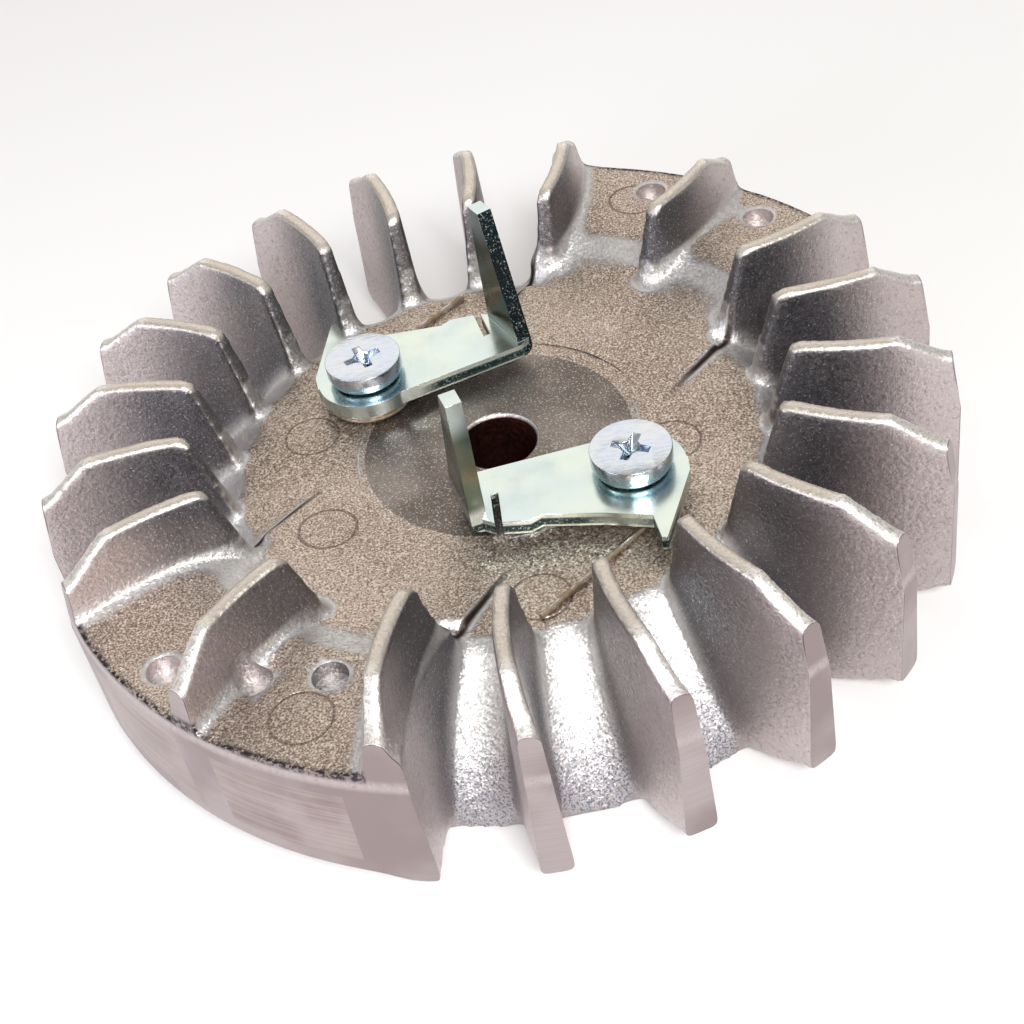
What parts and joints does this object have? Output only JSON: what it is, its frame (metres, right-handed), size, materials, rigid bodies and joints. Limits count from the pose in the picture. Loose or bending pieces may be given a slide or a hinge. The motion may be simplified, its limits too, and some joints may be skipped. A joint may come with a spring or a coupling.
{
  "type": "engine flywheel",
  "caption": "Cast flywheel of a small two-stroke engine, with a ring of curved fan vanes, a magnet block, a counterweight block and sprung starter pawls.",
  "frame": {"origin": "on the shaft axis, on the plane that the rim's foot stands on", "axes": "+Z along the shaft axis, out of the fan side; +X to the right seen from the front, +Y away from the front"},
  "size_m": [0.1018, 0.102, 0.0341],
  "materials": {
    "cast_aluminium": "shot-blasted die casting, satin where turned",
    "zinc_steel": "bright zinc plated",
    "spring_steel": "drawn wire, slightly browned",
    "pole_steel": "dark laminated steel, turned flush",
    "magnet": "sintered magnet"
  },
  "bodies": {
    "flywheel": {"hub_web": "cast_aluminium", "counterweight_block": "cast_aluminium", "magnet_block": "cast_aluminium", "vane_01": "cast_aluminium", "vane_02": "cast_aluminium", "vane_03": "cast_aluminium", "vane_04": "cast_aluminium", "vane_05": "cast_aluminium", "vane_06": "cast_aluminium", "vane_07": "cast_aluminium", "vane_08": "cast_aluminium", "vane_09": "cast_aluminium", "vane_10": "cast_aluminium", "vane_11": "cast_aluminium", "vane_12": "cast_aluminium", "vane_13": "cast_aluminium", "vane_14": "cast_aluminium", "vane_15": "cast_aluminium", "vane_16": "cast_aluminium", "vane_17": "cast_aluminium", "vane_18": "cast_aluminium", "vane_19": "cast_aluminium", "vane_20": "cast_aluminium", "magnet": "magnet", "pole_shoe_1": "pole_steel", "pole_shoe_2": "pole_steel", "shoe_rivets": "pole_steel", "pawl_screws": "zinc_steel", "pawl_washers": "zinc_steel", "pawl_spring_1": "spring_steel", "pawl_spring_2": "spring_steel"},
    "pawl_1": {"pawl_1": "zinc_steel"},
    "pawl_2": {"pawl_2": "zinc_steel"}
  },
  "joints": [
    {"name": "pawl_1_swing", "type": "hinge", "parent": "flywheel", "child": "pawl_1", "pos_m": [-0.01357, 0.01243, 0.0174], "axis": [0, 0, 1], "range_deg": [-11, 15], "stiffness_Nm_per_rad": 0.03},
    {"name": "pawl_2_swing", "type": "hinge", "parent": "flywheel", "child": "pawl_2", "pos_m": [0.01357, -0.01243, 0.0174], "axis": [0, 0, 1], "range_deg": [0, 26], "stiffness_Nm_per_rad": 0.03}
  ]
}
